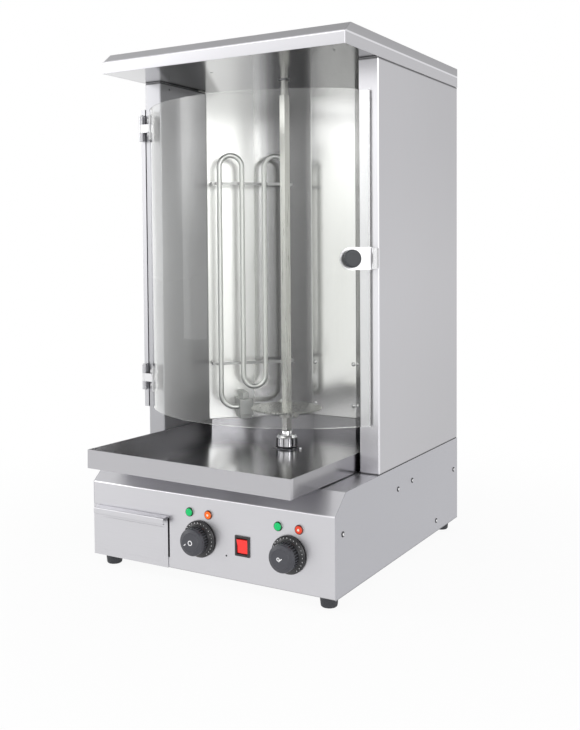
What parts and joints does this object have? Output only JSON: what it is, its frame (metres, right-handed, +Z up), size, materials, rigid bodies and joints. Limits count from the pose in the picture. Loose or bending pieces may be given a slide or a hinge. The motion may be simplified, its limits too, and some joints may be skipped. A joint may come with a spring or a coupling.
{
  "type": "electric skewer grill",
  "caption": "Tabletop electric vertical skewer grill: mirror-lined steel cabinet with a curved glass door, a driven spit, a drip tray and a base with drawer and heat controls.",
  "frame": {"origin": "on the floor under the feet, in the middle of the whole outline", "axes": "+X to the right as seen from the controls, +Y from the controls to the back, +Z up"},
  "size_m": [0.4606, 0.5597, 0.847],
  "materials": {
    "sheet_steel": "satin stainless sheet",
    "mirror_steel": "polished stainless sheet",
    "bright_metal": "bright plated steel",
    "dark_metal": "dark finished steel",
    "grey_casting": "painted gear housing",
    "bronze": "sintered bronze bush",
    "element_sheath": "oxidised steel sheath",
    "charcoal_plastic": "moulded heat-proof plastic",
    "black_plastic": "black moulding",
    "pale_plastic": "pale lamp rims",
    "ivory_plastic": "ivory moulding and ceramic",
    "red_plastic": "translucent red rocker",
    "green_lens": "green lamp lens",
    "orange_lens": "orange lamp lens",
    "red_lens": "red lamp lens",
    "black_rubber": "black rubber",
    "door_glass": "curved toughened glass"
  },
  "bodies": {
    "frame": {"base_pan": "sheet_steel", "base_side_left": "sheet_steel", "base_side_right": "sheet_steel", "front_panel": "sheet_steel", "base_back": "sheet_steel", "feet": "black_rubber", "foot_screws": "bright_metal", "drawer_rails": "sheet_steel", "cabinet_side_left": "sheet_steel", "cabinet_side_right": "sheet_steel", "cabinet_back": "sheet_steel", "reflector": "mirror_steel", "reflector_rivets": "bright_metal", "hood_shell": "sheet_steel", "hood_liner": "mirror_steel", "spit_top_bush": "dark_metal", "deck_bush": "bronze", "gearbox": "grey_casting", "drive_motor": "dark_metal", "motor_bracket": "sheet_steel", "heating_tube": "element_sheath", "element_terminal": "element_sheath", "element_strap_upper": "bright_metal", "element_strap_lower": "bright_metal", "thermostat_left": "ivory_plastic", "thermostat_right": "ivory_plastic", "lamp_rims": "pale_plastic", "lamp_green_left": "green_lens", "lamp_orange_left": "orange_lens", "lamp_green_right": "green_lens", "lamp_red_right": "red_lens", "switch_frame": "black_plastic", "hinge_angle": "sheet_steel", "hinge_pins": "bright_metal", "door_catch": "bright_metal", "drip_tray": "mirror_steel", "tray_ring": "bright_metal", "cable_gland": "black_plastic", "terminal_board": "ivory_plastic", "side_screws": "bright_metal", "back_screws": "bright_metal"},
    "door": {"glass_panel": "door_glass", "hinge_clamps": "bright_metal", "door_plate": "bright_metal", "door_washers": "black_rubber", "door_knob": "charcoal_plastic"},
    "drawer": {"drawer_box": "sheet_steel", "drawer_front": "sheet_steel"},
    "dial_left": {"knob_left": "charcoal_plastic", "spindle_left": "bright_metal"},
    "dial_right": {"knob_right": "charcoal_plastic", "spindle_right": "bright_metal"},
    "rocker": {"switch_rocker": "red_plastic"},
    "drive": {"drive_shaft": "bright_metal", "drive_socket": "bright_metal"},
    "spit": {"spit_rod": "bright_metal", "spit_disc": "bright_metal"}
  },
  "joints": [
    {"name": "door_swing", "type": "hinge", "parent": "frame", "child": "door", "pos_m": [-0.229, -0.0825, 0.502], "axis": [0, 0, -1], "range_deg": [0, 110]},
    {"name": "drawer_slide", "type": "slide", "parent": "frame", "child": "drawer", "axis": [0, -1, 0], "range_m": [0, 0.18]},
    {"name": "dial_left_turn", "type": "hinge", "parent": "frame", "child": "dial_left", "pos_m": [-0.0105, -0.2365, 0.074], "axis": [0, 1, 0], "range_deg": [0, 270]},
    {"name": "dial_right_turn", "type": "hinge", "parent": "frame", "child": "dial_right", "pos_m": [0.1485, -0.2365, 0.074], "axis": [0, 1, 0], "range_deg": [0, 270]},
    {"name": "rocker_tilt", "type": "hinge", "parent": "frame", "child": "rocker", "pos_m": [0.0675, -0.2225, 0.074], "axis": [-1, 0, 0], "range_deg": [0, 16]},
    {"name": "spit_spin", "type": "hinge", "parent": "frame", "child": "drive", "pos_m": [0, 0.0245, 0.202], "axis": [0, 0, 1], "continuous": true},
    {"name": "spit_lift", "type": "slide", "parent": "drive", "child": "spit", "axis": [0, 0, 1], "range_m": [0, 0.018]}
  ]
}
